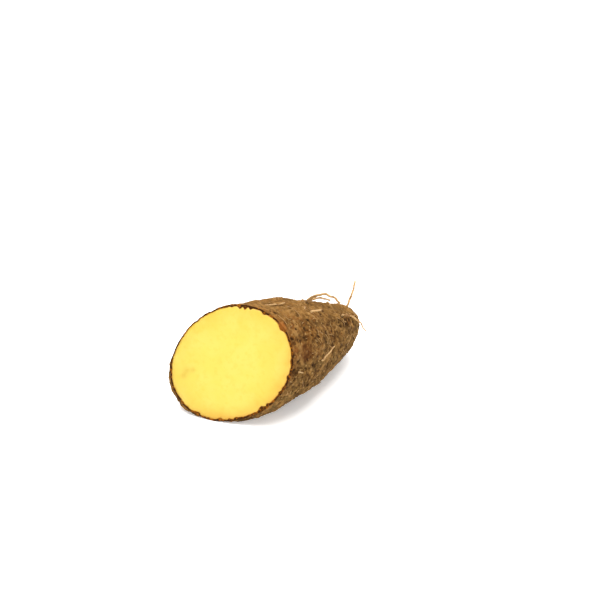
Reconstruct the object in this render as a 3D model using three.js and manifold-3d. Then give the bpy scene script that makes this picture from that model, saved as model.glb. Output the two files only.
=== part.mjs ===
// Half of a yellow-fleshed yam, cut across and lying on its side.
// Millimetres, +Z up. The half lies on the plane z = 0 with the origin under its middle, and
// its length runs along +Y, from the flat cut to the blunt tip.
// The yam grew as one piece, so it is one solid: the body, its flat cut and the wiry rootlets
// that stand out of its skin.
import * as THREE from "three";
import { mergeVertices } from "three/addons/utils/BufferGeometryUtils.js";
import Module from "manifold-3d";

const DEG = Math.PI / 180;

// The whole half
const LENGTH = 120; // from the middle of the cut to the tip
const CUT_MIDDLE = { x: -2.2, y: -53.6 }; // the middle of the cut, seen from above
const LENGTH_BOW = 6.9; // how far the middle line bows towards +X
const TIP_ASIDE = 14.3; // how far the tip ends towards +X of the cut's middle
const BOW_AT = 0.51; // share of the length at which the bow is pulled

// The cut, a plane that leans back a little
const CUT_YAW = 15 * DEG; // turned from -Y towards +X
const CUT_TILT = 15 * DEG; // turned up from level
const CUT_RADIUS = 40; // mean, skin included
const OVAL = 4.6; // how far the oval's long end passes the mean radius
const OVAL_LEAN = 39 * DEG; // the long axis, up from level
const CORNER = 0.35; // a slight three-sided look
const CORNER_LEAN = -22 * DEG;
const SQUARENESS = 0.35; // a slight four-sided look
const SQUARE_LEAN = 37 * DEG;

// How the radius falls from the cut to the tip
const TAPER = 0.64; // share of the radius lost at the tip, before its rounding
const TAPER_CURVE = 1.51;
const TIP_ROUNDING = 12; // a higher number makes a blunter tip

// The underside
const FLAT_DEPTH = 1.5; // how much of the round underside the flat spot takes off
const CUT_CLEARANCE = 0.4; // height of the cut's lowest point
const TIP_LIFT = 9.6; // how far the underside rises towards the tip, before its rounding

// Relief of the skin. A swelling of negative height is a hollow.
const SWELLINGS = [
  { share: 0.1, angle: 219, height: 6.3, along: 25, around: 29 },
  { share: 0.23, angle: 312, height: 1.1, along: 25, around: 24 },
  { share: 0.4, angle: 101, height: 1, along: 26, around: 30 },
  { share: 0.75, angle: 105, height: -2.7, along: 20, around: 21 },
  { share: 0.92, angle: 335, height: -1.7, along: 25, around: 20 },
];
const LUMP_HEIGHT = 1.1;
const RIB_COUNT = 11; // creases round the yam that run towards the tip
const RIB_HEIGHT = 0.5;

// Rootlets
const ROOTLET_SUNK = 2.2; // how deep a rootlet starts below the skin
const ROOTLET_SIDES = 5;
const ROOTLET_STEPS = 8;
const ROOTLET_COLLAR = 1.9; // radius of the little wart that it grows from
const SEED = 7;

// Fineness of the body
const RINGS = 42;
const SEGMENTS = 84;
const UNDERSIDE_SAMPLES = 72;

// The same number from 0 to 1 for the same index and stream
function draw(index, stream) {
  const x = Math.sin(index * 12.9898 + stream * 78.233 + SEED) * 43758.5453;
  return x - Math.floor(x);
}

function smooth(low, high, x) {
  const t = THREE.MathUtils.clamp((x - low) / (high - low), 0, 1);
  return t * t * (3 - 2 * t);
}

// Direction from the cut into the yam, square to the cut
const INTO_YAM = new THREE.Vector3(
  -Math.sin(CUT_YAW) * Math.cos(CUT_TILT),
  Math.cos(CUT_YAW) * Math.cos(CUT_TILT),
  -Math.sin(CUT_TILT),
);

// The middle line seen from above, and the way that it runs
function middleLine(share) {
  const pulled = 2 * share * (1 - share);
  return {
    x: pulled * (LENGTH_BOW / 2) + TIP_ASIDE * share,
    y: LENGTH * (pulled * BOW_AT + share * share),
    direction: new THREE.Vector3(
      (1 - 2 * share) * LENGTH_BOW + TIP_ASIDE,
      LENGTH * ((2 - 4 * share) * BOW_AT + 2 * share),
      0,
    ).normalize(),
  };
}

// Square to a cross-section: the cut's own direction at the cut, the middle line's further in
function ringDirection(share) {
  const along = middleLine(share).direction;
  return INTO_YAM.clone().lerp(along, smooth(0, 0.6, share)).normalize();
}

// The radius before the tip's rounding
function bodyRadius(share, angle) {
  const oval =
    OVAL * Math.cos(2 * (angle - OVAL_LEAN)) +
    CORNER * Math.cos(3 * (angle - CORNER_LEAN)) +
    SQUARENESS * Math.cos(4 * (angle - SQUARE_LEAN));
  const kept = Math.max(0, 1 - share / 0.8);
  const taper = 1 - TAPER * Math.pow(share, TAPER_CURVE);
  return (CUT_RADIUS + oval * kept) * taper;
}

function radiusAt(share, angle) {
  const rounding = Math.sqrt(Math.max(0, 1 - Math.pow(share, TIP_ROUNDING)));
  return bodyRadius(share, angle) * rounding;
}

// The two directions across a cross-section: level, and up
function ringAxes(share) {
  const into = ringDirection(share);
  const across = new THREE.Vector3(0, 0, 1).cross(into).negate().normalize();
  return { across, up: new THREE.Vector3().crossVectors(across, into) };
}

// The height of a cross-section's middle, found from where its underside has to lie
const heights = new Map();
function middleHeight(share) {
  if (heights.has(share)) return heights.get(share);
  const { up, across } = ringAxes(share);
  let lowest = 0;
  for (let i = 0; i < UNDERSIDE_SAMPLES; i++) {
    const angle = (i / UNDERSIDE_SAMPLES) * 2 * Math.PI;
    const r = bodyRadius(share, angle);
    lowest = Math.min(lowest, r * (Math.cos(angle) * across.z + Math.sin(angle) * up.z));
  }
  const lifted = TIP_LIFT * Math.pow(Math.max(0, (share - 0.35) / 0.65), 2);
  const pressed = FLAT_DEPTH * smooth(0.02, 0.12, share) * (1 - smooth(0.5, 0.72, share));
  const height = lifted - pressed - lowest + CUT_CLEARANCE * (1 - smooth(0, 0.1, share));
  heights.set(share, height);
  return height;
}

// Height of the broad swellings above the plain form
function swelling(share, angle) {
  let height = 0;
  for (const s of SWELLINGS) {
    const aside = ((angle / DEG - s.angle + 540) % 360) - 180;
    const along = ((share - s.share) * LENGTH) / s.along;
    const around = (aside * DEG * CUT_RADIUS) / s.around;
    height += s.height * Math.exp(-along * along - around * around);
  }
  return height;
}

// Height of the skin's relief above the plain form
function relief(point, share, angle) {
  const fade = smooth(0, 0.06, share);
  const lumps =
    Math.sin(point.x / 10.5 + 1.3) * Math.sin(point.y / 12 + 0.4) +
    Math.sin(point.y / 7.2 + 2.1) * Math.sin(point.z / 8.5 + 0.9) +
    0.6 * Math.sin(point.x / 5.6 + 0.2) * Math.sin(point.z / 6.1 + point.y / 9 + 1.1);
  const wander = 1.4 * Math.sin(share * 6 + 0.5) + 0.8 * Math.sin(share * 13 + angle * 2);
  const uneven = 0.55 + 0.45 * Math.sin(3 * angle + 5 * share + 1);
  const ribs = uneven * Math.sin(RIB_COUNT * angle + wander) * smooth(0.35, 0.8, share);
  const thin = 1 - 0.85 * smooth(0.8, 1, share);
  const rough = fade * thin * ((LUMP_HEIGHT / 1.6) * lumps + RIB_HEIGHT * ribs);
  return rough + smooth(0, 0.03, share) * swelling(share, angle);
}

// A point of the skin, with the direction out of the yam there
function skinPoint(share, angle) {
  const line = middleLine(share);
  const { across, up } = ringAxes(share);
  const out = across
    .clone()
    .multiplyScalar(Math.cos(angle))
    .addScaledVector(up, Math.sin(angle));
  const start = new THREE.Vector3(
    CUT_MIDDLE.x + line.x,
    CUT_MIDDLE.y + line.y,
    middleHeight(share),
  );
  const plain = start.clone().addScaledVector(out, radiusAt(share, angle));
  const point = plain.addScaledVector(out, relief(plain, share, angle));
  point.z = Math.max(point.z, 0);
  return { point, out };
}

// The shares of the length at which the rings stand, closer together at both ends
function ringShare(ring) {
  return 1 - Math.pow(1 - Math.pow(ring / RINGS, 1.15), 1.35);
}

function bodyGeometry() {
  const positions = [];
  const index = [];
  for (let ring = 0; ring < RINGS; ring++)
    for (let i = 0; i < SEGMENTS; i++) {
      const angle = (i / SEGMENTS) * 2 * Math.PI;
      positions.push(...skinPoint(ringShare(ring), angle).point);
    }
  const cutMiddle = positions.length / 3;
  positions.push(CUT_MIDDLE.x, CUT_MIDDLE.y, middleHeight(0));
  const tip = cutMiddle + 1;
  positions.push(...skinPoint(1, 0).point);
  for (let i = 0; i < SEGMENTS; i++) {
    const next = (i + 1) % SEGMENTS;
    index.push(cutMiddle, i, next);
    for (let ring = 0; ring < RINGS - 1; ring++) {
      const a = ring * SEGMENTS;
      const b = a + SEGMENTS;
      index.push(a + i, b + i, a + next);
      index.push(a + next, b + i, b + next);
    }
    const last = (RINGS - 1) * SEGMENTS;
    index.push(last + i, tip, last + next);
  }
  const geometry = new THREE.BufferGeometry();
  geometry.setAttribute("position", new THREE.Float32BufferAttribute(positions, 3));
  geometry.setIndex(index);
  return geometry;
}

// Rootlets that show from the front and side: share of the length, angle round the yam,
// length, heading from the tip's way round it, lean from the skin, how far it droops back
// towards the skin, and how it curls
const FRONT_ROOTLETS = [
  { share: 0.56, angle: 86, length: 34, heading: 84, lean: 60, droop: 67, curl: -19 },
  { share: 0.591, angle: 90, length: 16, heading: 29, lean: 24, droop: 35, curl: -40 },
  { share: 0.904, angle: 74, length: 20, heading: -15, lean: 49, droop: 31, curl: 31 },
  { share: 0.727, angle: 47, length: 21, heading: 59, lean: 58, droop: 68, curl: -46 },
  { share: 0.418, angle: 67, length: 11.5, heading: 152, lean: 10, droop: 14, curl: 16 },
  { share: 0.406, angle: 58, length: 8.5, heading: 3, lean: 15, droop: 12, curl: -8 },
  { share: 0.725, angle: 82, length: 5, heading: 106, lean: 18, droop: 19, curl: -8 },
  { share: 0.325, angle: 5, length: 13, heading: -40, lean: 16, droop: 10, curl: -4 },
  { share: 0.062, angle: 1, length: 11.5, heading: 10, lean: 9, droop: 6, curl: -14 },
  { share: 0.095, angle: 74, length: 15.5, heading: 10, lean: 10, droop: 4, curl: 16 },
];
const REST_ROOTLETS = 13;
const GOLDEN_SHARE = 0.618; // steps of this share of the way round never line up

// Every rootlet: those above, and the rest spread evenly over the hidden sides
function rootlets() {
  const all = FRONT_ROOTLETS.map((r) => ({ ...r }));
  for (let i = 0; i < REST_ROOTLETS; i++)
    all.push({
      share: 0.1 + 0.83 * ((i + draw(i, 1)) / REST_ROOTLETS),
      angle: 160 + 88 * ((i * GOLDEN_SHARE) % 1) + 6 * draw(i, 2),
      length: 9 + 9 * draw(i, 3),
      heading: -70 + 140 * draw(i, 4),
      lean: 9 + 12 * draw(i, 5),
      droop: 10,
      curl: -70 + 140 * draw(i, 6),
    });
  return all;
}

// The points of a rootlet's line. It leaves the skin at its lean and curls back along it.
function rootletLine({ share, angle, length, heading, lean, droop, curl }) {
  const base = skinPoint(share, angle * DEG);
  const tipwards = skinPoint(Math.min(0.99, share + 0.01), angle * DEG).point;
  tipwards.sub(base.point).projectOnPlane(base.out).normalize();
  const round = new THREE.Vector3().crossVectors(tipwards, base.out);
  const along = tipwards
    .clone()
    .multiplyScalar(Math.cos(heading * DEG))
    .addScaledVector(round, Math.sin(heading * DEG));
  const direction = along
    .clone()
    .multiplyScalar(Math.cos(lean * DEG))
    .addScaledVector(base.out, Math.sin(lean * DEG));
  const turn = new THREE.Quaternion().setFromAxisAngle(
    base.out,
    (curl * DEG) / ROOTLET_STEPS,
  );
  const sag = new THREE.Quaternion().setFromAxisAngle(
    new THREE.Vector3().crossVectors(direction, base.out).normalize(),
    (-droop * DEG) / ROOTLET_STEPS,
  );
  const point = base.point.clone().addScaledVector(base.out, -ROOTLET_SUNK);
  const points = [point.clone(), base.point.clone()];
  for (let i = 0; i < ROOTLET_STEPS; i++) {
    direction.applyQuaternion(turn).applyQuaternion(sag);
    const next = points[points.length - 1].clone();
    next.addScaledVector(direction, length / ROOTLET_STEPS);
    next.z = Math.max(next.z, 1.2);
    points.push(next);
  }
  return points;
}

// A tube along the line that narrows to its end, closed at both ends
function rootletGeometry(points) {
  const curve = new THREE.CatmullRomCurve3(points);
  const steps = ROOTLET_STEPS + 3;
  const frames = curve.computeFrenetFrames(steps, false);
  const positions = [];
  const index = [];
  for (let i = 0; i <= steps; i++) {
    const share = i / steps;
    const centre = curve.getPointAt(share);
    const collar = ROOTLET_COLLAR * Math.exp(-Math.pow(share / 0.16, 2));
    const radius = Math.max(collar, 0.75 - 0.35 * share);
    for (let k = 0; k < ROOTLET_SIDES; k++) {
      const angle = (k / ROOTLET_SIDES) * 2 * Math.PI;
      const rim = centre
        .clone()
        .addScaledVector(frames.normals[i], radius * Math.cos(angle))
        .addScaledVector(frames.binormals[i], radius * Math.sin(angle));
      positions.push(rim.x, rim.y, Math.max(rim.z, 0.2));
    }
  }
  for (let k = 0; k < ROOTLET_SIDES; k++) {
    const next = (k + 1) % ROOTLET_SIDES;
    for (let i = 0; i < steps; i++) {
      const a = i * ROOTLET_SIDES;
      const b = a + ROOTLET_SIDES;
      index.push(a + k, a + next, b + k, b + k, a + next, b + next);
    }
    if (k > 0 && next > 0) {
      const end = steps * ROOTLET_SIDES;
      index.push(0, next, k, end, end + k, end + next);
    }
  }
  const geometry = new THREE.BufferGeometry();
  geometry.setAttribute("position", new THREE.Float32BufferAttribute(positions, 3));
  geometry.setIndex(index);
  return geometry;
}

const wasm = await Module();
wasm.setup();

function toSolid(geometry) {
  const merged = mergeVertices(geometry, 1e-4);
  return new wasm.Manifold(
    new wasm.Mesh({
      numProp: 3,
      vertProperties: merged.attributes.position.array,
      triVerts: new Uint32Array(merged.index.array),
    }),
  );
}

function toGeometry(solid) {
  const mesh = solid.getMesh();
  const geometry = new THREE.BufferGeometry();
  const positions = new THREE.Float32BufferAttribute(mesh.vertProperties, 3);
  geometry.setAttribute("position", positions);
  geometry.setIndex(new THREE.Uint32BufferAttribute(mesh.triVerts, 1));
  geometry.computeVertexNormals();
  return geometry;
}

let solid = toSolid(bodyGeometry());
for (const rootlet of rootlets())
  solid = solid.add(toSolid(rootletGeometry(rootletLine(rootlet))));

const skin = new THREE.MeshStandardMaterial({
  color: 0x7a5a38,
  roughness: 0.9,
  metalness: 0,
});
const yamHalf = new THREE.Mesh(toGeometry(solid), skin);
yamHalf.name = "yam_half";

const part = new THREE.Group();
part.add(yamHalf);
export default part;
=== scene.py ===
import math

import bpy
import numpy as np
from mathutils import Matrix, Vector


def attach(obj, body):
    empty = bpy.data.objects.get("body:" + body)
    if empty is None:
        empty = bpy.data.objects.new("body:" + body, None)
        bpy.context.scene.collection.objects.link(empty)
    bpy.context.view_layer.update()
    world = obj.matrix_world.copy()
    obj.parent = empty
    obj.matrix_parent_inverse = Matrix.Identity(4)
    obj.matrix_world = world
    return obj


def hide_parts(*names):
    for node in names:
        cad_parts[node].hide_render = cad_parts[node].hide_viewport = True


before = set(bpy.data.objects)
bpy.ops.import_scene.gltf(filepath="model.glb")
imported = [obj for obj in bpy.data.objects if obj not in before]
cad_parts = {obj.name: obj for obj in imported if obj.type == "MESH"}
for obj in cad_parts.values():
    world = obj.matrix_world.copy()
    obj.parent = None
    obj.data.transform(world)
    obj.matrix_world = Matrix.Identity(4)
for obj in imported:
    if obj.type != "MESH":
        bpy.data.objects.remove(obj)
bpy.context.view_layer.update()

MM = 0.001
UP = np.array([0.0, 0.0, 1.0])

# A share says how far along the yam a place is, from 0 at the cut to 1 at the tip. An angle
# says where it is round the yam, from the right of the cut up over the top.

# The whole half
LENGTH = 120.0
CUT_MIDDLE = (-2.2, -53.6)
LENGTH_BOW = 6.9
TIP_ASIDE = 14.3
BOW_AT = 0.51

# The cut. Cross-sections turn from its plane until they are square to the yam.
CUT_YAW = math.radians(15)
CUT_TILT = math.radians(15)
CUT_RADIUS = 40.0
OVAL = 4.6
OVAL_LEAN = math.radians(39)
CORNER = 0.35
CORNER_LEAN = math.radians(-22)
SQUARENESS = 0.35
SQUARE_LEAN = math.radians(37)
TURNED_BY = 0.6
INTO_YAM = np.array(
    [
        -math.sin(CUT_YAW) * math.cos(CUT_TILT),
        math.cos(CUT_YAW) * math.cos(CUT_TILT),
        -math.sin(CUT_TILT),
    ]
)

# How the radius falls from the cut to the tip, and the share from which sections are round
TAPER = 0.64
TAPER_CURVE = 1.51
TIP_ROUNDING = 12
ROUND_FROM = 0.8

# The underside: a flat spot that starts and ends softly, clearance at the cut, a rising tip
FLAT_DEPTH = 1.5
FLAT_START = (0.02, 0.12)
FLAT_END = (0.5, 0.72)
CUT_CLEARANCE = 0.4
CLEARANCE_TO = 0.1
TIP_LIFT = 9.6
LIFT_FROM = 0.35

# Broad relief: lumps, ribs that rise to their height between two shares, and swellings, each
# with its share of the length, angle in degrees, height, reach along and reach around
SWELLINGS = [
    (0.1, 219, 6.3, 25, 29),
    (0.23, 312, 1.1, 25, 24),
    (0.4, 101, 1.0, 26, 30),
    (0.75, 105, -2.7, 20, 21),
    (0.92, 335, -1.7, 25, 20),
]
LUMP_HEIGHT = 1.1
RIB_COUNT = 11
RIB_HEIGHT = 0.5
RIBS_RISE = (0.35, 0.8)

# Fine relief of the skin: rounded knobs and nubs, furrows, creases and grit. A higher
# sharpness makes a narrower furrow or crease.
KNOB_SIZE = 9.0
KNOB_HEIGHT = 0.7
NUB_SIZE = 2.8
NUB_HEIGHT = 0.5
WARP_SIZE = 3.4
WARP = 1.2
FURROW_WIDTH = 2.2
FURROW_LENGTH = 5.0
FURROW_SHARPNESS = 3.2
FURROW_DEPTH = 0.22
CREASE_WIDTH = FURROW_WIDTH * 0.8
CREASE_SHARPNESS = 4
CREASE_DEPTH = 0.22
CREASE_PATCH = 22
GRIT_SIZE = 1.4
GRIT_HEIGHT = 0.26

# Scars where rootlets broke off, small pits, and the shares of their places left empty
SCAR_SPACING = 9.5
SCAR_RADIUS = 1.5
SCAR_HEIGHT = 0.42
SCARLESS = 0.3
PIT_SPACING = 4.4
PIT_RADIUS = 1.05
PIT_DEPTH = 0.55
PITLESS = 0.35

# The round scar of a bud on the right flank
BUD_SCAR = (38.7, -27.9, 48.0)
BUD_RADIUS = 6.5
BUD_DEPTH = 0.45

# The skin's cut edge, with angles in degrees. It is thin and even at the top left and scraped
# at the top right, and its notches reach into the flesh: angle, depth, width in degrees.
SKIN_THICKNESS = 1.25
LEAST_THICKNESS = 0.55
EDGE_RAGGED = 0.45
EDGE_PROUD = 0.22
EDGE_RINGS = (0.35, 0.75)
THIN_SKIN_AT = 135
THIN_SKIN_REACH = 50
SCRAPE_AT = 44
SCRAPE_REACH = 3.6
NOTCHES = [(85, 1.6, 2.0), (80, 2.2, 1.6), (75, 1.3, 1.4), (62, 1.0, 2.0), (43, 1.2, 3.0)]
NOTCHES += [(313, 1.9, 4.0), (321, 0.9, 2.6), (263, 1.4, 2.4), (340, 0.8, 2.0), (12, 0.8, 2.5)]

# The flesh under the skin, its slightly domed cut face, the side where its rim is warmer, and
# its stains: right of the face's middle, above it, reach
FLESH_INSET = 1.9
FLESH_LOWEST = 1.6
FLESH_END = 0.985
FLESH_ROUNDING = 30
FACE_DOME = 0.25
WARM_TOWARDS = math.radians(-52)
STAINS = [(-30.0, -9.6, 2.6), (-25.5, -8.5, 1.5), (-31.9, -13.5, 2.0)]

# Fineness
SEGMENTS = 380
SKIN_RINGS = 222
FLESH_RINGS = 22
FACE_RINGS = 34
DROP_STEPS = 72
ANGLES = np.linspace(0, 2 * np.pi, SEGMENTS, endpoint=False)

# Chance: the seed, and large odd numbers that mix a cell's place into one number
SEED = 7
CELL_MIXERS = (374761393, 668265263, 1440662683)
STREAM_MIXER = 1013904223
LAST_MIXER = 1274126177


def smooth(low, high, x):
    """0 at low and beyond it, 1 at high and beyond it, and a soft step between."""
    t = np.clip((x - low) / (high - low), 0, 1)
    return t * t * (3 - 2 * t)


def bell(x):
    """1 at 0, falling smoothly to nothing on both sides."""
    return np.exp(-(x**2))


def unit(vectors):
    length = np.linalg.norm(vectors, axis=-1, keepdims=True)
    return vectors / np.maximum(length, 1e-9)


def degrees_from(facing, angle):
    """How many degrees an angle in radians lies past facing, from -180 to 180."""
    return (np.degrees(angle) - facing + 540) % 360 - 180


def cell_random(cells, stream):
    """The same number from 0 to 1 for the same cell of space and stream."""
    mixed = sum(cells[..., k] * mixer for k, mixer in enumerate(CELL_MIXERS))
    mixed = mixed + stream * STREAM_MIXER
    mixed = (mixed ^ (mixed >> 13)) * LAST_MIXER
    mixed = mixed ^ (mixed >> 16)
    return (mixed & 0xFFFFFF) / 0x1000000


def soft_noise(points, size, stream):
    """Smooth random relief from about -1 to 1, with features about as wide as size.

    Each stream is a pattern of its own.
    """
    scaled = points / np.asarray(size, float)
    cell = np.floor(scaled).astype(np.int64)
    inside = scaled - cell
    ease = inside**3 * (inside * (inside * 6 - 15) + 10)
    total = np.zeros(points.shape[:-1])
    for corner in np.ndindex(2, 2, 2):
        corner = np.array(corner)
        weight = np.prod(np.where(corner, ease, 1 - ease), axis=-1)
        slope = [cell_random(cell + corner, stream * 3 + k) * 2 - 1 for k in range(3)]
        total += weight * np.sum(np.stack(slope, -1) * (inside - corner), axis=-1)
    return total * 1.6


def nearest_spot(points, spacing, stream):
    """Distance to the nearest of the spots strewn about spacing apart, and its own number."""
    scaled = points / spacing
    cell = np.floor(scaled).astype(np.int64)
    nearest = np.full(points.shape[:-1], np.inf)
    number = np.zeros(points.shape[:-1])
    for step in np.ndindex(3, 3, 3):
        home = cell + np.array(step) - 1
        spot = home + np.stack([cell_random(home, stream * 4 + k) for k in range(3)], -1)
        distance = np.linalg.norm(scaled - spot, axis=-1)
        closer = distance < nearest
        nearest = np.where(closer, distance, nearest)
        number = np.where(closer, cell_random(home, stream * 4 + 3), number)
    return nearest * spacing, number


# The form that the solid has too


def body_radius(share, angle):
    """The radius before the tip's rounding."""
    oval = OVAL * np.cos(2 * (angle - OVAL_LEAN)) + CORNER * np.cos(3 * (angle - CORNER_LEAN))
    oval = oval + SQUARENESS * np.cos(4 * (angle - SQUARE_LEAN))
    kept = np.maximum(0, 1 - share / ROUND_FROM)
    taper = 1 - TAPER * share**TAPER_CURVE
    return (CUT_RADIUS + oval * kept) * taper


def radius_at(share, angle):
    return body_radius(share, angle) * np.sqrt(np.maximum(0, 1 - share**TIP_ROUNDING))


def section(share):
    """A cross-section's middle, and the level and upward directions across it."""
    share = np.asarray(share, float)
    pulled = 2 * share * (1 - share)
    x = CUT_MIDDLE[0] + pulled * LENGTH_BOW / 2 + TIP_ASIDE * share
    y = CUT_MIDDLE[1] + LENGTH * (pulled * BOW_AT + share * share)
    slope_x = (1 - 2 * share) * LENGTH_BOW + TIP_ASIDE
    slope_y = LENGTH * ((2 - 4 * share) * BOW_AT + 2 * share)
    along = unit(np.stack([slope_x, slope_y, 0 * share], -1))
    squared = smooth(0, TURNED_BY, share)[..., None]
    into = unit(INTO_YAM * (1 - squared) + along * squared)
    across = unit(-np.cross(UP, into))
    up = np.cross(across, into)
    angle = np.linspace(0, 2 * np.pi, DROP_STEPS, endpoint=False)
    r = body_radius(share[..., None], angle)
    drop = r * (np.cos(angle) * across[..., 2:3] + np.sin(angle) * up[..., 2:3])
    lifted = TIP_LIFT * np.maximum(0, (share - LIFT_FROM) / (1 - LIFT_FROM)) ** 2
    pressed = FLAT_DEPTH * smooth(*FLAT_START, share) * (1 - smooth(*FLAT_END, share))
    clear = CUT_CLEARANCE * (1 - smooth(0, CLEARANCE_TO, share))
    z = lifted - pressed - np.minimum(drop.min(-1), 0) + clear
    return np.stack([x, y, z], -1), across, up


def broad_relief(points, share, angle):
    """Lumps, ribs and swellings above the plain form, as in the solid."""
    x, y, z = points[..., 0], points[..., 1], points[..., 2]
    lumps = np.sin(x / 10.5 + 1.3) * np.sin(y / 12 + 0.4)
    lumps += np.sin(y / 7.2 + 2.1) * np.sin(z / 8.5 + 0.9)
    lumps += 0.6 * np.sin(x / 5.6 + 0.2) * np.sin(z / 6.1 + y / 9 + 1.1)
    wander = 1.4 * np.sin(share * 6 + 0.5) + 0.8 * np.sin(share * 13 + angle * 2)
    uneven = 0.55 + 0.45 * np.sin(3 * angle + 5 * share + 1)
    ribs = uneven * np.sin(RIB_COUNT * angle + wander) * smooth(*RIBS_RISE, share)
    thin = 1 - 0.85 * smooth(0.8, 1, share)
    rough = smooth(0, 0.06, share) * thin * (LUMP_HEIGHT / 1.6 * lumps + RIB_HEIGHT * ribs)
    swelling = 0
    for at, facing, height, reach_along, reach_around in SWELLINGS:
        far_along = (share - at) * LENGTH / reach_along
        far_around = np.radians(degrees_from(facing, angle)) * CUT_RADIUS / reach_around
        swelling = swelling + height * bell(far_along) * bell(far_around)
    return rough + smooth(0, 0.03, share) * swelling


def skin_points(share, angle, inset=0.0):
    """Points of the skin before its fine relief, and the direction out of the yam there."""
    middle, across, up = section(share)
    out = across * np.cos(angle)[..., None] + up * np.sin(angle)[..., None]
    plain = middle + out * radius_at(share, angle)[..., None]
    height = broad_relief(plain, share, angle) - inset
    points = plain + out * height[..., None]
    points[..., 2] = np.maximum(points[..., 2], 0)
    return points, out


# Meshes


def surface_normals(grid, out):
    """Outward directions of a grid of rings."""
    around = np.roll(grid, -1, axis=1) - np.roll(grid, 1, axis=1)
    along = np.gradient(grid, axis=0)
    normal = unit(np.cross(around, along))
    flip = np.sign(np.sum(normal * out, axis=-1, keepdims=True))
    return normal * np.where(flip == 0, 1, flip)


def ring_shares(count, crowding, end=1.0):
    """Shares of the length for rings that crowd towards the tip."""
    return end * (1 - (1 - np.arange(count) / count) ** crowding)


def strip_faces(first, second, around=SEGMENTS):
    """Quads between two rings, given by their first vertices."""
    step = np.arange(around)
    after = (step + 1) % around
    return np.stack([first + step, first + after, second + after, second + step], -1)


def ring_faces(start, rings, around=SEGMENTS):
    """Quads between neighbouring rings of a grid whose first vertex is start."""
    firsts = [start + ring * around for ring in range(rings - 1)]
    return np.concatenate([strip_faces(first, first + around, around) for first in firsts])


def cap_faces(ring_start, pole, around=SEGMENTS):
    """Triangles between a ring and a pole."""
    step = np.arange(around)
    after = (step + 1) % around
    return np.stack([ring_start + step, ring_start + after, np.full(around, pole)], -1)


def flipped(faces):
    return faces[:, ::-1]


def make_mesh(name, points, faces, materials, face_materials=None, marks=None):
    """A smooth mesh object in metres. marks are named numbers, one for each vertex."""
    mesh = bpy.data.meshes.new(name)
    all_faces = [face for group in faces for face in group.tolist()]
    mesh.from_pydata((np.asarray(points) * MM).tolist(), [], all_faces)
    for material in materials:
        mesh.materials.append(material)
    if face_materials is not None:
        mesh.polygons.foreach_set("material_index", np.asarray(face_materials, dtype=np.int32))
    mesh.polygons.foreach_set("use_smooth", np.full(len(mesh.polygons), True))
    for mark, values in (marks or {}).items():
        layer = mesh.attributes.new(mark, "FLOAT", "POINT")
        layer.data.foreach_set("value", np.asarray(values, dtype=np.float32))
    mesh.validate()
    mesh.update()
    piece = bpy.data.objects.new(name, mesh)
    bpy.context.scene.collection.objects.link(piece)
    return piece


# Materials


def srgb(colour):
    """An sRGB hex colour as linear red, green, blue and alpha."""
    parts = [int(colour[i : i + 2], 16) / 255 for i in (1, 3, 5)]
    linear = [c / 12.92 if c <= 0.04045 else ((c + 0.055) / 1.055) ** 2.4 for c in parts]
    return (*linear, 1.0)


def add(tree, kind, settings=None, inputs=None):
    """Adds a node, sets its properties, and sets or links its inputs."""
    node = tree.nodes.new(kind)
    for key, value in (settings or {}).items():
        setattr(node, key, value)
    for key, value in (inputs or {}).items():
        if isinstance(value, bpy.types.NodeSocket):
            tree.links.new(value, node.inputs[key])
        else:
            node.inputs[key].default_value = value
    return node


def new_material(name, surface):
    """A material with its node tree, its shader and the coordinates of the object in metres.

    surface holds the shader's values that are the same all over.
    """
    material = bpy.data.materials.new(name)
    material.use_nodes = True
    tree = material.node_tree
    tree.nodes.clear()
    shader = add(tree, "ShaderNodeBsdfPrincipled", inputs=surface)
    add(tree, "ShaderNodeOutputMaterial", inputs={"Surface": shader.outputs[0]})
    place = add(tree, "ShaderNodeTexCoord").outputs["Object"]
    return material, tree, shader, place


def noise_mask(
    tree, place, size_mm, low, high, cover=1.0, detail=2.0, stretch=(1, 1, 1), offset=0.0
):
    """0 to cover where smooth noise of that feature size passes from low to high."""
    scale = tuple(1 / (size_mm * MM * s) for s in stretch)
    mapped = add(
        tree,
        "ShaderNodeMapping",
        inputs={"Vector": place, "Scale": scale, "Location": (offset, offset * 0.7, -offset)},
    )
    noise = add(
        tree,
        "ShaderNodeTexNoise",
        inputs={"Vector": mapped.outputs[0], "Scale": 1.0, "Detail": detail, "Roughness": 0.55},
    )
    limits = {"From Min": low, "From Max": high, "To Max": cover}
    inputs = {"Value": noise.outputs["Fac"], **limits}
    return add(tree, "ShaderNodeMapRange", inputs=inputs).outputs[0]


def mark_mask(tree, mark, low, high, cover=1.0):
    """0 to cover where a mark of the mesh passes from low to high."""
    value = add(tree, "ShaderNodeAttribute", {"attribute_name": mark}).outputs["Fac"]
    inputs = {"Value": value, "From Min": low, "From Max": high, "To Max": cover}
    return add(tree, "ShaderNodeMapRange", inputs=inputs).outputs[0]


def colour_surface(tree, shader, base, layers):
    """Colours the shader: a base colour, and over it each layer's colour where its mask is."""
    under, above, mixed = 6, 7, 2
    colour = srgb(base)
    for mask, over in layers:
        inputs = {"Factor": mask, under: colour, above: srgb(over)}
        colour = add(tree, "ShaderNodeMix", {"data_type": "RGBA"}, inputs).outputs[mixed]
    tree.links.new(colour, shader.inputs["Base Color"])


def roughen_surface(tree, shader, bumps):
    """Bumps the shader's surface. Each bump has a height mask, a depth and a strength."""
    inputs = {}
    for height, depth_mm, strength in bumps:
        inputs.update({"Height": height, "Distance": depth_mm * MM, "Strength": strength})
        inputs["Normal"] = add(tree, "ShaderNodeBump", inputs=inputs).outputs[0]
    tree.links.new(inputs["Normal"], shader.inputs["Normal"])


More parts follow.
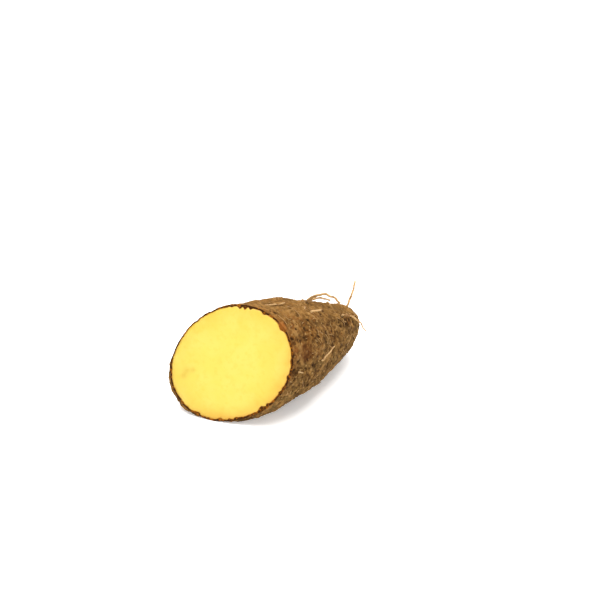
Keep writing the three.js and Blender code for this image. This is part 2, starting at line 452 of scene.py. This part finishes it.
# Corky yam skin, as dug and dried: dry and matte, earthy brown in patches, with dark pits
# where rootlets broke off and pale frayed fibres, so it hardly shines at all. Cork cells are
# too fine to show, so the grain is drawn nearly a millimetre wide. Its colour also holds painted
# shade low on the flanks, in the low relief and in the pits, and painted light on the top and
# on the high relief.
def corky_skin():
    surface = {"Roughness": 0.92, "Specular IOR Level": 0.05}
    material, tree, shader, place = new_material("corky yam skin", surface)
    fleck_spacing_mm = 3.4
    flecks = add(
        tree,
        "ShaderNodeTexVoronoi",
        {"feature": "F1"},
        {"Vector": place, "Scale": 1 / (fleck_spacing_mm * MM), "Randomness": 1.0},
    )
    limits = {"From Min": 0.26, "From Max": 0.14, "To Max": 0.6}
    inputs = {"Value": flecks.outputs["Distance"], **limits}
    pale_fleck = add(tree, "ShaderNodeMapRange", inputs=inputs).outputs[0]
    layers = [
        # Patches of brown, olive and rust
        (noise_mask(tree, place, 22, 0.42, 0.6, detail=3, offset=6.0), "#6F471D"),
        (noise_mask(tree, place, 12, 0.5, 0.64, 0.6, detail=3, offset=4.0), "#52401F"),
        (noise_mask(tree, place, 7, 0.54, 0.68, 0.6, detail=3, offset=17.0), "#6B3712"),
        # Painted shade: darker low on the flanks; and darker skin away from the cut
        (mark_mask(tree, "height", 46.0, 26.0, 0.55), "#604F2D"),
        (mark_mask(tree, "share", 0.12, 0.4, 0.2), "#3A2A12"),
        # Light and dark mottle
        (noise_mask(tree, place, 2.6, 0.47, 0.6, 0.72, detail=3, offset=9.0), "#8C6737"),
        (noise_mask(tree, place, 2.3, 0.5, 0.64, 0.8, detail=3, offset=21.0), "#38220A"),
        # Painted shade in the low ground of the relief and painted light on its high ground
        (mark_mask(tree, "relief", -0.05, -0.65, 0.75), "#2E1A07"),
        (mark_mask(tree, "relief", 0.25, 0.75, 0.65), "#916D3E"),
        # Pale fibres and flecks
        (noise_mask(tree, place, 0.9, 0.6, 0.72, 0.45, stretch=(1, 2, 1), offset=2.0), "#9A7747"),
        (pale_fleck, "#9E7D4F"),
        # Warm skin beside the cut, painted light on the top, the bud scar, the dried tip, the
        # scraped spot
        (mark_mask(tree, "by_cut", 0.0, 1.0, 0.3), "#6B3D16"),
        (mark_mask(tree, "top", 0.0, 1.0, 0.32), "#946C3A"),
        (mark_mask(tree, "bud", 0.0, 1.0, 0.5), "#52290F"),
        (mark_mask(tree, "by_tip", 0.0, 1.0, 0.35), "#966E3E"),
        (mark_mask(tree, "scraped", 0.25, 0.7, 0.5), "#985825"),
        # Pits, the darkest of all: dark scar tissue, with painted shade in the hollows
        (mark_mask(tree, "pit", 0.2, 0.8, 0.85), "#211104"),
    ]
    colour_surface(tree, shader, "#614320", layers)
    grain = noise_mask(tree, place, 0.8, 0.3, 0.7, detail=3, offset=5.0)
    threads = noise_mask(tree, place, 0.7, 0.35, 0.7, stretch=(1, 3, 1), offset=1.0)
    roughen_surface(tree, shader, [(grain, 0.4, 0.9), (threads, 0.25, 0.45)])
    return material


# The skin's freshly cut edge: cork cells seen end on, nearly black brown with orange bits
# where the living layer under the cork shows.
def cut_cork():
    surface = {"Roughness": 0.85, "Specular IOR Level": 0.06}
    material, tree, shader, place = new_material("cut cork edge", surface)
    layers = [
        (noise_mask(tree, place, 1.6, 0.5, 0.66), "#8A500E"),
        (mark_mask(tree, "edge_depth", 0.35, 1.0, 0.3), "#6D400B"),
        (mark_mask(tree, "scraped", 0.25, 0.7, 0.45), "#9C5C22"),
    ]
    colour_surface(tree, shader, "#2B1503", layers)
    grain = noise_mask(tree, place, 0.6, 0.35, 0.65)
    roughen_surface(tree, shader, [(grain, 0.3, 0.6)])
    return material


# Raw yam flesh, freshly cut: bright lemon yellow and moist, with light let in a little
# below the surface, golden near the skin, and faint fibres and stains.
def raw_flesh():
    surface = {
        "Roughness": 0.5,
        "IOR": 1.38,
        "Subsurface Weight": 0.12,
        "Subsurface Radius": (4 * MM, 2.5 * MM, 0.6 * MM),
        "Subsurface Scale": 1.0,
    }
    material, tree, shader, place = new_material("raw yellow yam flesh", surface)
    layers = [
        # Deeper yellow towards the rim
        (mark_mask(tree, "rim", 0.45, 1.0), "#C2A83F"),
        # Pale clouds and darker fibres
        (noise_mask(tree, place, 16, 0.42, 0.62, 0.35), "#C7B758"),
        (noise_mask(tree, place, 3.2, 0.5, 0.68, 0.3, detail=3, offset=7.0), "#BB9F32"),
        # The warm side, specks, stains, and the thin seam beside the skin
        (mark_mask(tree, "warmth", 0.0, 1.0, 0.75), "#BD8723"),
        (noise_mask(tree, place, 1.3, 0.66, 0.74, 0.3, offset=13.0), "#B39032"),
        (mark_mask(tree, "stain", 0.0, 1.0, 0.3), "#947018"),
        (mark_mask(tree, "rim", 0.985, 1.0, 0.8), "#A76513"),
    ]
    colour_surface(tree, shader, "#C2B046", layers)
    grain = noise_mask(tree, place, 0.9, 0.35, 0.65)
    roughen_surface(tree, shader, [(grain, 0.12, 0.35)])
    return material


# Dried rootlets and skin fibres: wiry, tan and matte, darker where soil stays on them. The
# fibres are browner than the rootlets.
def dry_root(name, clean, soiled, palest):
    surface = {"Roughness": 0.8, "Specular IOR Level": 0.3}
    material, tree, shader, place = new_material(name, surface)
    layers = [
        (noise_mask(tree, place, 3.5, 0.46, 0.66, detail=3), soiled),
        (noise_mask(tree, place, 1.4, 0.56, 0.7, 0.6, offset=3.0), palest),
    ]
    colour_surface(tree, shader, clean, layers)
    grain = noise_mask(tree, place, 0.5, 0.3, 0.7)
    roughen_surface(tree, shader, [(grain, 0.15, 0.5)])
    return material


# Matt white acrylic, lit faintly from below as studio tables are, so shadows on it stay soft
def table_sheet():
    surface = {
        "Base Color": srgb("#FDFDFC"),
        "Emission Color": srgb("#FFFFFF"),
        "Emission Strength": 0.22,
        "Roughness": 1.0,
        "Specular IOR Level": 0.0,
    }
    return new_material("matt white acrylic sheet", surface)[0]


# The skin's fine relief


def furrows_and_creases(points, bent):
    """Depth of the furrows along the yam and of the creases across it, which lie in patches."""
    furrow_size = (FURROW_WIDTH, FURROW_LENGTH, FURROW_WIDTH)
    furrows = np.maximum(0, 1 - FURROW_SHARPNESS * np.abs(soft_noise(bent, furrow_size, 3)))
    crease_size = (FURROW_LENGTH, CREASE_WIDTH, FURROW_LENGTH)
    creases = np.maximum(0, 1 - CREASE_SHARPNESS * np.abs(soft_noise(bent, crease_size, 6)))
    creased = smooth(-0.2, 0.5, soft_noise(points, CREASE_PATCH, 7))
    return FURROW_DEPTH * furrows + CREASE_DEPTH * creases * creased


def rootlet_scars(bent):
    """Collars and pits where rootlets broke off, each from 0 to 1."""
    distance, number = nearest_spot(bent, SCAR_SPACING, 8)
    across = distance / (SCAR_RADIUS * (0.6 + 0.6 * number))
    scarred = number > SCARLESS
    return scarred * bell((across - 1) / 0.42), scarred * bell(across / 0.6)


def small_pits(bent):
    """Small pits, from 0 to 1."""
    distance, number = nearest_spot(bent, PIT_SPACING, 5)
    return (number > PITLESS) * bell(distance / (PIT_RADIUS * (0.5 + 0.7 * number)))


def bud_scar(points):
    """The bud scar's collar and its hollow, each from 0 to 1."""
    away = np.linalg.norm(points - BUD_SCAR, axis=-1) / BUD_RADIUS
    return bell((away - 1.1) / 0.22), np.exp(-(away**4))


def fine_relief(points, share):
    """Height of the fine relief above the broad form, and the marks of pits and the bud scar.

    Most of it follows bent points, which wind its features.
    """
    warp = np.stack([soft_noise(points, WARP_SIZE, 20 + k) for k in range(3)], -1)
    bent = points + WARP * warp
    knobs = soft_noise(points, KNOB_SIZE, 1) + 0.5 * soft_noise(bent, KNOB_SIZE * 0.45, 2)
    nubs = soft_noise(bent, NUB_SIZE, 10)
    grit = soft_noise(points, GRIT_SIZE, 4)
    scar_collar, scar_pit = rootlet_scars(bent)
    small_pit = small_pits(bent)
    bud_collar, bud_hollow = bud_scar(points)
    height = KNOB_HEIGHT * knobs + NUB_HEIGHT * nubs + GRIT_HEIGHT * grit
    height = height + SCAR_HEIGHT * (scar_collar - 1.1 * scar_pit)
    height = height - furrows_and_creases(points, bent)
    height = height - PIT_DEPTH * small_pit
    height = height + BUD_DEPTH * (0.8 * bud_collar - bud_hollow)
    pit = np.clip(0.8 * scar_pit + small_pit, 0, 1)
    smoother_tip = 1 - 0.35 * smooth(0.9, 1, share)
    return height * smoother_tip, pit, bud_hollow


# The yam


def outer_skin():
    """The skin's outer grid of rings with its marks.

    At the cut the relief is half as high and lies in the plane of the cut.
    """
    share = ring_shares(SKIN_RINGS, 1.3)
    share_grid, angle_grid = np.meshgrid(share, ANGLES, indexing="ij")
    points, out = skin_points(share_grid, angle_grid)
    height, pit, bud = fine_relief(points, share_grid)
    normal = surface_normals(points, out)
    off_plane = smooth(0, 0.02, share_grid)[..., None]
    direction = unit(out * (1 - off_plane) + normal * off_plane)
    fade = 0.5 + 0.5 * smooth(0, 0.012, share_grid)
    points = points + direction * (height * fade)[..., None]
    points[..., 2] = np.maximum(points[..., 2], 0)
    marks = {
        # relief also darkens the low ground as painted shade and lightens the high ground as
        # painted light
        "relief": np.clip(height / 0.8 + 0.15, -1, 1),
        # pit also darkens the pits, partly with painted shade
        "pit": pit,
        "bud": bud,
        "by_cut": np.exp(-share_grid / 0.02),
        "share": share_grid,
        "by_tip": smooth(0.88, 0.99, share_grid),
        # height darkens the skin low on the flanks as painted shade
        "height": points[..., 2],
        # top lightens the upward side of the skin as painted light
        "top": smooth(0.55, 0.97, np.sin(angle_grid)),
    }
    return points, marks


def tip_point():
    points, _ = skin_points(np.array([1.0]), np.array([0.0]))
    return points[0]


def skin_thickness(outline):
    """Thickness of the skin in the plane of the cut, with its ragged bits and notches."""
    ragged = soft_noise(outline, 3.2, 41) + 0.6 * soft_noise(outline, 1.3, 42)
    uneven = 0.35 + 0.65 * smooth(-0.25, 0.5, soft_noise(outline, 17, 48))
    teeth = np.maximum(0, soft_noise(outline, 4.5, 43) - 0.25) * 2.6
    even = bell(degrees_from(THIN_SKIN_AT, ANGLES) / THIN_SKIN_REACH)
    plain = SKIN_THICKNESS * (1 - 0.35 * even)
    thickness = plain + (1 - 0.85 * even) * uneven * (EDGE_RAGGED * ragged + teeth)
    for facing, depth, width in NOTCHES:
        thickness = thickness + depth * bell(degrees_from(facing, ANGLES) / width)
    return np.maximum(thickness, LEAST_THICKNESS)


def inner_skin(flesh_edge):
    """The grid where the skin meets the flesh, from the cut's inner edge to near the tip."""
    share = ring_shares(FLESH_RINGS, 1.5, FLESH_END)
    share_grid, angle_grid = np.meshgrid(share, ANGLES, indexing="ij")
    middle, _, _ = section(share_grid)
    outer, _ = skin_points(share_grid, angle_grid, FLESH_INSET)
    closing = np.sqrt(np.maximum(0, 1 - (share_grid / FLESH_END) ** FLESH_ROUNDING))
    grid = middle + (outer - middle) * closing[..., None]
    grid[..., 2] = np.maximum(grid[..., 2], FLESH_LOWEST)
    grid[0] = flesh_edge
    pole, _, _ = section(np.array([FLESH_END]))
    return grid.reshape(-1, 3), pole[0]


def build_skin(outer, marks, flesh_edge, inner, inner_tip):
    """The skin: its outer grid, its cut edge, and its inner grid on the flesh."""
    outline = outer[0]
    edge = []
    for part in EDGE_RINGS:
        proud = EDGE_PROUD * math.sin(math.pi * part) * (0.4 + soft_noise(outline, 2.1, 44))
        edge.append(outline + (flesh_edge - outline) * part - INTO_YAM * proud[:, None])
    grid = outer.reshape(-1, 3)
    points = np.concatenate([grid, [tip_point()], *edge, inner, [inner_tip]])
    tip = len(grid)
    edge_starts = [tip + 1 + SEGMENTS * ring for ring in range(len(EDGE_RINGS))]
    inner_start = edge_starts[-1] + SEGMENTS
    inner_pole = inner_start + len(inner)

    ring_starts = [0, *edge_starts, inner_start]
    last_ring = inner_start + (FLESH_RINGS - 1) * SEGMENTS
    step = np.arange(SEGMENTS)
    after = (step + 1) % SEGMENTS
    cork_groups = [ring_faces(0, SKIN_RINGS), cap_faces((SKIN_RINGS - 1) * SEGMENTS, tip)]
    edge_groups = [
        np.stack([first + step, second + step, second + after, first + after], -1)
        for first, second in zip(ring_starts, ring_starts[1:])
    ]
    inner_groups = [
        flipped(ring_faces(inner_start, FLESH_RINGS)),
        flipped(cap_faces(last_ring, inner_pole)),
    ]
    cork, edge_cork = 0, 1
    kinds = [cork] * len(cork_groups) + [edge_cork] * len(edge_groups)
    kinds += [cork] * len(inner_groups)
    groups = cork_groups + edge_groups + inner_groups
    face_materials = np.concatenate([np.full(len(g), kind) for g, kind in zip(groups, kinds)])

    rest = np.zeros(len(points) - len(grid))
    all_marks = {mark: np.concatenate([v.reshape(-1), rest]) for mark, v in marks.items()}
    edge_depth = np.zeros(len(points))
    for start, part in zip([*edge_starts, inner_start], [*EDGE_RINGS, 1.0]):
        edge_depth[start : start + SEGMENTS] = part
    all_marks["edge_depth"] = edge_depth
    scrape = outline[round(SCRAPE_AT / 360 * SEGMENTS)]
    all_marks["scraped"] = bell(np.linalg.norm(points - scrape, axis=1) / SCRAPE_REACH)
    materials = [corky_skin(), cut_cork()]
    return make_mesh("yam_skin", points, groups, materials, face_materials, all_marks)


def face_marks(face_grid, face_share, middle, across, up):
    """Marks of the cut face: nearness to its rim, warmth near the rim, and stains."""
    rim = np.repeat(face_share, SEGMENTS)
    towards = np.tile(np.cos(ANGLES - WARM_TOWARDS), FACE_RINGS)
    patchy = 0.75 + 0.5 * soft_noise(face_grid, 9, 47)
    warmth = smooth(0.72, 1.02, rim) * (0.25 + 0.75 * smooth(-0.2, 0.9, towards)) * patchy
    flat = face_grid - middle
    on_face = np.stack([flat @ across, flat @ up], -1)
    stain = np.zeros(len(face_grid))
    for right, above, reach in STAINS:
        stain += bell(np.linalg.norm(on_face - (right, above), axis=-1) / reach)
    return {"rim": rim, "warmth": np.clip(warmth, 0, 1), "stain": np.clip(stain, 0, 1)}


def build_flesh(flesh_edge, inner, inner_tip):
    """The flesh: the cut face in rings from its edge to its middle, and the inner grid."""
    middle, across, up = [part[0] for part in section(np.array([0.0]))]
    face_share = 1 - np.linspace(0, 1, FACE_RINGS, endpoint=False) ** 0.8
    rings = middle + (flesh_edge[None] - middle) * face_share[:, None, None]
    dome = FACE_DOME * (1 - face_share**6)
    sliced = 0.12 * soft_noise(rings, (14, 14, 5), 45) + 0.05 * soft_noise(rings, 2.4, 46)
    proud = dome[:, None] + sliced * smooth(1.0, 0.93, face_share)[:, None]
    face_grid = (rings - INTO_YAM * proud[..., None]).reshape(-1, 3)
    centre = middle - INTO_YAM * FACE_DOME
    points = np.concatenate([face_grid, [centre], inner[SEGMENTS:], [inner_tip]])

    centre_index = len(face_grid)
    body_start = centre_index + 1
    body_pole = body_start + len(inner) - SEGMENTS
    groups = [
        flipped(ring_faces(0, FACE_RINGS)),
        flipped(cap_faces((FACE_RINGS - 1) * SEGMENTS, centre_index)),
        strip_faces(0, body_start),
        ring_faces(body_start, FLESH_RINGS - 1),
        cap_faces(body_start + (FLESH_RINGS - 2) * SEGMENTS, body_pole),
    ]
    rest = np.zeros(len(points) - len(face_grid))
    on_face = face_marks(face_grid, face_share, middle, across, up)
    marks = {mark: np.concatenate([values, rest]) for mark, values in on_face.items()}
    return make_mesh("yam_flesh", points, groups, [raw_flesh()], None, marks)


def build_yam():
    """The skin and the flesh, which share their edge on the cut and the grid between them."""
    outer, marks = outer_skin()
    _, out = skin_points(np.zeros(SEGMENTS), ANGLES)
    flesh_edge = outer[0] - out * skin_thickness(outer[0])[:, None]
    inner, inner_tip = inner_skin(flesh_edge)
    skin = build_skin(outer, marks, flesh_edge, inner, inner_tip)
    flesh = build_flesh(flesh_edge, inner, inner_tip)
    return skin, flesh


# Rootlets, much as in the solid: share of the length, angle, length, heading, lean, droop, curl
FRONT_ROOTLETS = [
    (0.56, 86, 34, 84, 60, 67, -19),
    (0.591, 90, 16, 29, 24, 35, -40),
    (0.904, 74, 20, -15, 49, 31, 31),
    (0.727, 47, 21, 59, 58, 68, -46),
    (0.418, 67, 11.5, 152, 15, 10, 16),
    (0.406, 58, 8.5, 3, 15, 12, -8),
    (0.725, 82, 5, 106, 18, 19, -8),
    (0.325, 5, 13, -40, 16, 10, -4),
    (0.062, 1, 11.5, 10, 9, 6, -14),
    (0.095, 74, 15.5, 10, 10, 4, 16),
]
FRONT_THICKNESS = [2.2, 1.9, 1.8, 1.4, 1.7, 1.5, 1.2, 1.2, 1.0, 1.2]
REST_THICKNESS = 1.2
REST_ROOTLETS = 13
GOLDEN_SHARE = 0.618
ROOTLET_SUNK = 2.2
ROOTLET_STEPS = 8
ROOTLET_RISE = 0.5
ROOTLET_LOWEST = 1.2
ROOTLET_POINTS = 30
ROOTLET_SIDES = 8
WIGGLE_SIZE = 5.0
WIGGLE = (0.8, 0.6, 0.8)
KNOT_SIZE = 2.0

# Frayed fibres. One that lies wholly below UNDERSIDE would be under the yam, so it is left out.
FIBRE_COUNT = 260
FIBRE_SUNK = 0.3
FIBRE_STEPS = 5
FIBRE_LOWEST = 0.3
FIBRE_POINTS = 9
FIBRE_SIDES = 5
UNDERSIDE = 3

# Tubes stay this far above the floor
ROOTLET_CLEARANCE = 0.15
FIBRE_CLEARANCE = 0.1


def draw(index, stream):
    """The same draw as in the solid's rootlets."""
    x = math.sin(index * 12.9898 + stream * 78.233 + SEED) * 43758.5453
    return x - math.floor(x)


def rest_rootlet(i):
    """A rootlet on the left side, anywhere from above its middle to the underside."""
    return (
        0.1 + 0.83 * ((i + draw(i, 1)) / REST_ROOTLETS),
        160 + 88 * ((i * GOLDEN_SHARE) % 1) + 6 * draw(i, 2),
        9 + 9 * draw(i, 3),
        -70 + 140 * draw(i, 4),
        9 + 12 * draw(i, 5),
        10,
        -70 + 140 * draw(i, 6),
    )


def turned(vector, axis, angle):
    """The vector turned about the axis."""
    axis = axis / max(np.linalg.norm(axis), 1e-9)
    cross = np.cross(axis, vector)
    return (
        vector * math.cos(angle)
        + cross * math.sin(angle)
        + axis * (axis @ vector) * (1 - math.cos(angle))
    )


def root_line(rootlet, rise, sunk, steps, lowest):
    """Points of a rootlet's line. It leaves the skin at its lean and curls back along it.

    It starts higher than the broad form by its rise, so it lies on the fine relief.
    """
    share, angle, length, heading, lean, droop, curl = rootlet
    angle, heading, lean = math.radians(angle), math.radians(heading), math.radians(lean)
    bases, outs = skin_points(np.array([share, min(0.99, share + 0.01)]), np.array([angle] * 2))
    out = outs[0]
    base = bases[0] + out * rise
    tipwards = bases[1] - bases[0]
    tipwards = unit(tipwards - out * (tipwards @ out))
    around = np.cross(tipwards, out)
    along = tipwards * math.cos(heading) + around * math.sin(heading)
    direction = along * math.cos(lean) + out * math.sin(lean)
    sag_axis = np.cross(direction, out)
    points = [base - out * (sunk + rise), base]
    for _ in range(steps):
        direction = turned(direction, out, math.radians(curl) / steps)
        direction = turned(direction, sag_axis, -math.radians(droop) / steps)
        following = points[-1] + direction * length / steps
        following[2] = max(following[2], lowest)
        points.append(following)
    return np.array(points)


def resample(points, count):
    """Evenly spaced points on a smooth curve through the given ones."""
    padded = np.concatenate([[2 * points[0] - points[1]], points, [2 * points[-1] - points[-2]]])
    dense = []
    for i in range(len(points) - 1):
        p0, p1, p2, p3 = padded[i : i + 4]
        for t in np.linspace(0, 1, 8, endpoint=False):
            a = 2 * p1 + (p2 - p0) * t
            b = (2 * p0 - 5 * p1 + 4 * p2 - p3) * t**2
            c = (3 * p1 - p0 - 3 * p2 + p3) * t**3
            dense.append((a + b + c) / 2)
    dense = np.array(dense + [points[-1]])
    gone = np.concatenate([[0], np.cumsum(np.linalg.norm(np.diff(dense, axis=0), axis=1))])
    wanted = np.linspace(0, gone[-1], count)
    return np.stack([np.interp(wanted, gone, dense[:, k]) for k in range(3)], -1)


def tube(line, radii, sides, lowest):
    """Points and faces of a closed tube along a line."""
    along = unit(np.gradient(line, axis=0))
    side = unit(np.cross(along[0], UP) + 1e-6)
    points = []
    for here, direction, radius in zip(line, along, radii):
        side = unit(side - direction * (side @ direction))
        other = np.cross(direction, side)
        for k in range(sides):
            angle = 2 * math.pi * k / sides
            rim = side * math.cos(angle) + other * math.sin(angle)
            points.append(here + radius * rim)
    start_pole, end_pole = len(points), len(points) + 1
    points = np.array(points + [line[0], line[-1] + along[-1] * radii[-1]])
    points[:, 2] = np.maximum(points[:, 2], lowest)
    quads = ring_faces(0, len(line), sides)
    start_cap = flipped(cap_faces(0, start_pole, sides))
    end_cap = cap_faces(start_pole - sides, end_pole, sides)
    return points, quads, np.concatenate([start_cap, end_cap])


def join_tubes(name, tubes, material):
    """One mesh from many closed tubes."""
    points, quads, triangles = [], [], []
    start = 0
    for tube_points, tube_quads, tube_triangles in tubes:
        points.append(tube_points)
        quads.append(tube_quads + start)
        triangles.append(tube_triangles + start)
        start += len(tube_points)
    groups = [np.concatenate(quads), np.concatenate(triangles)]
    return make_mesh(name, np.concatenate(points), groups, [material])


def build_rootlets(material):
    """Wiry rootlets that wind a little, with a collar where each leaves the skin."""
    tubes = []
    all_rootlets = FRONT_ROOTLETS + [rest_rootlet(i) for i in range(REST_ROOTLETS)]
    all_thickness = FRONT_THICKNESS + [REST_THICKNESS] * REST_ROOTLETS
    share = np.linspace(0, 1, ROOTLET_POINTS)
    for number, (rootlet, thickness) in enumerate(zip(all_rootlets, all_thickness)):
        stiff = root_line(rootlet, ROOTLET_RISE, ROOTLET_SUNK, ROOTLET_STEPS, ROOTLET_LOWEST)
        line = resample(stiff, ROOTLET_POINTS)
        wiggle = soft_noise(line + number * 17.0, WIGGLE_SIZE, 51)[:, None] * WIGGLE
        line = line + wiggle * smooth(0.08, 0.3, share)[:, None]
        knots = 1 + 0.18 * soft_noise(line, KNOT_SIZE, 52)
        collar = 0.65 * thickness * bell(share / 0.1)
        radii = np.maximum(collar, thickness * (0.5 - 0.16 * share) * knots)
        tubes.append(tube(line, radii, ROOTLET_SIDES, ROOTLET_CLEARANCE))
    return join_tubes("rootlets", tubes, material)


def build_fibres(material):
    """Short frayed fibres that lie along the skin all over it."""
    chance = np.random.default_rng(SEED)
    tubes = []
    for _ in range(FIBRE_COUNT):
        share = 0.02 + 0.95 * chance.random() ** 1.1
        angle = 360 * chance.random()
        length = 2.5 + 5.5 * chance.random() ** 2
        heading = 360 * chance.random()
        lean = 5 + 12 * chance.random()
        curl = chance.normal(0, 55)
        radius = 0.13 + 0.1 * chance.random()
        fibre = (share, angle, length, heading, lean, lean + 10, curl)
        line = root_line(fibre, 0, FIBRE_SUNK, FIBRE_STEPS, FIBRE_LOWEST)
        if line[:, 2].max() < UNDERSIDE:
            continue
        line = resample(line, FIBRE_POINTS)
        radii = radius * np.linspace(1.25, 0.55, FIBRE_POINTS)
        tubes.append(tube(line, radii, FIBRE_SIDES, FIBRE_CLEARANCE))
    return join_tubes("fine_fibres", tubes, material)


skin, flesh = build_yam()
rootlets = build_rootlets(dry_root("dry wiry root", "#B08C5C", "#76522B", "#C4A476"))
fibres = build_fibres(dry_root("frayed skin fibre", "#9C7848", "#664724", "#B08C5C"))

for piece in (skin, flesh, rootlets, fibres):
    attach(piece, "root")
    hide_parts("yam_half")

# Floor, in metres

FLOOR_REACH = 20.0
corners = [(-1, -1), (1, -1), (1, 1), (-1, 1)]
floor_points = [(x * FLOOR_REACH, y * FLOOR_REACH, 0) for x, y in corners]
floor_mesh = bpy.data.meshes.new("floor")
floor_mesh.from_pydata(floor_points, [], [(0, 1, 2, 3)])
floor_mesh.materials.append(table_sheet())
floor = bpy.data.objects.new("floor", floor_mesh)
bpy.context.scene.collection.objects.link(floor)

# Camera, at the photograph's viewing angle

AZIMUTH = math.radians(35)
ELEVATION = math.radians(27)
DISTANCE = 950 * MM
AIM = Vector((-60.6 * MM, 106.6 * MM, 0.6 * MM))
LENS_MM = 74.1
SENSOR_MM = 36.0

back = Vector(
    (
        math.sin(AZIMUTH) * math.cos(ELEVATION),
        -math.cos(AZIMUTH) * math.cos(ELEVATION),
        math.sin(ELEVATION),
    )
)
camera = bpy.data.objects.new("camera", bpy.data.cameras.new("camera"))
camera.data.lens = LENS_MM
camera.data.sensor_width = SENSOR_MM
camera.location = AIM + back * DISTANCE
camera.rotation_mode = "QUATERNION"
camera.rotation_quaternion = (-back).to_track_quat("-Z", "Y")
bpy.context.scene.collection.objects.link(camera)
bpy.context.scene.camera = camera

# Light

# A softbox overhead and a weak one behind the camera, in metres and watts, in a white room
# that is a little dimmer high up
LAMP_AIM = Vector((0.0, 0.0, 0.03))
OVERHEAD_PLACE = Vector((0.0, 0.0, 2.2))
OVERHEAD_SIZE = 2.0
OVERHEAD_POWER = 86
FRONT_PLACE = Vector((1.0, -1.6, 0.75))
FRONT_SIZE = 1.0
FRONT_POWER = 9
WALL_LIGHT = 1.0
CEILING_LIGHT = 0.72
DIMS_FROM = 0.3
DIMS_TO = 0.6


def soft_lamp(name, place, size, power):
    lamp = bpy.data.objects.new(name, bpy.data.lights.new(name, "AREA"))
    lamp.data.size = size
    lamp.data.energy = power
    lamp.location = place
    lamp.rotation_mode = "QUATERNION"
    lamp.rotation_quaternion = (LAMP_AIM - place).to_track_quat("-Z", "Y")
    bpy.context.scene.collection.objects.link(lamp)


soft_lamp("overhead softbox", OVERHEAD_PLACE, OVERHEAD_SIZE, OVERHEAD_POWER)
soft_lamp("front softbox", FRONT_PLACE, FRONT_SIZE, FRONT_POWER)

world = bpy.data.worlds.new("white room")
world.use_nodes = True
room = world.node_tree
direction = add(room, "ShaderNodeTexCoord").outputs["Generated"]
upwards = add(room, "ShaderNodeSeparateXYZ", inputs={0: direction}).outputs["Z"]
room_limits = {
    "Value": upwards,
    "From Min": DIMS_FROM,
    "From Max": DIMS_TO,
    "To Min": WALL_LIGHT,
    "To Max": CEILING_LIGHT,
}
brightness = add(room, "ShaderNodeMapRange", inputs=room_limits).outputs[0]
room.links.new(brightness, room.nodes["Background"].inputs["Strength"])
room.nodes["Background"].inputs["Color"].default_value = (1, 1, 1, 1)
bpy.context.scene.world = world
bpy.context.scene.view_settings.view_transform = "Standard"
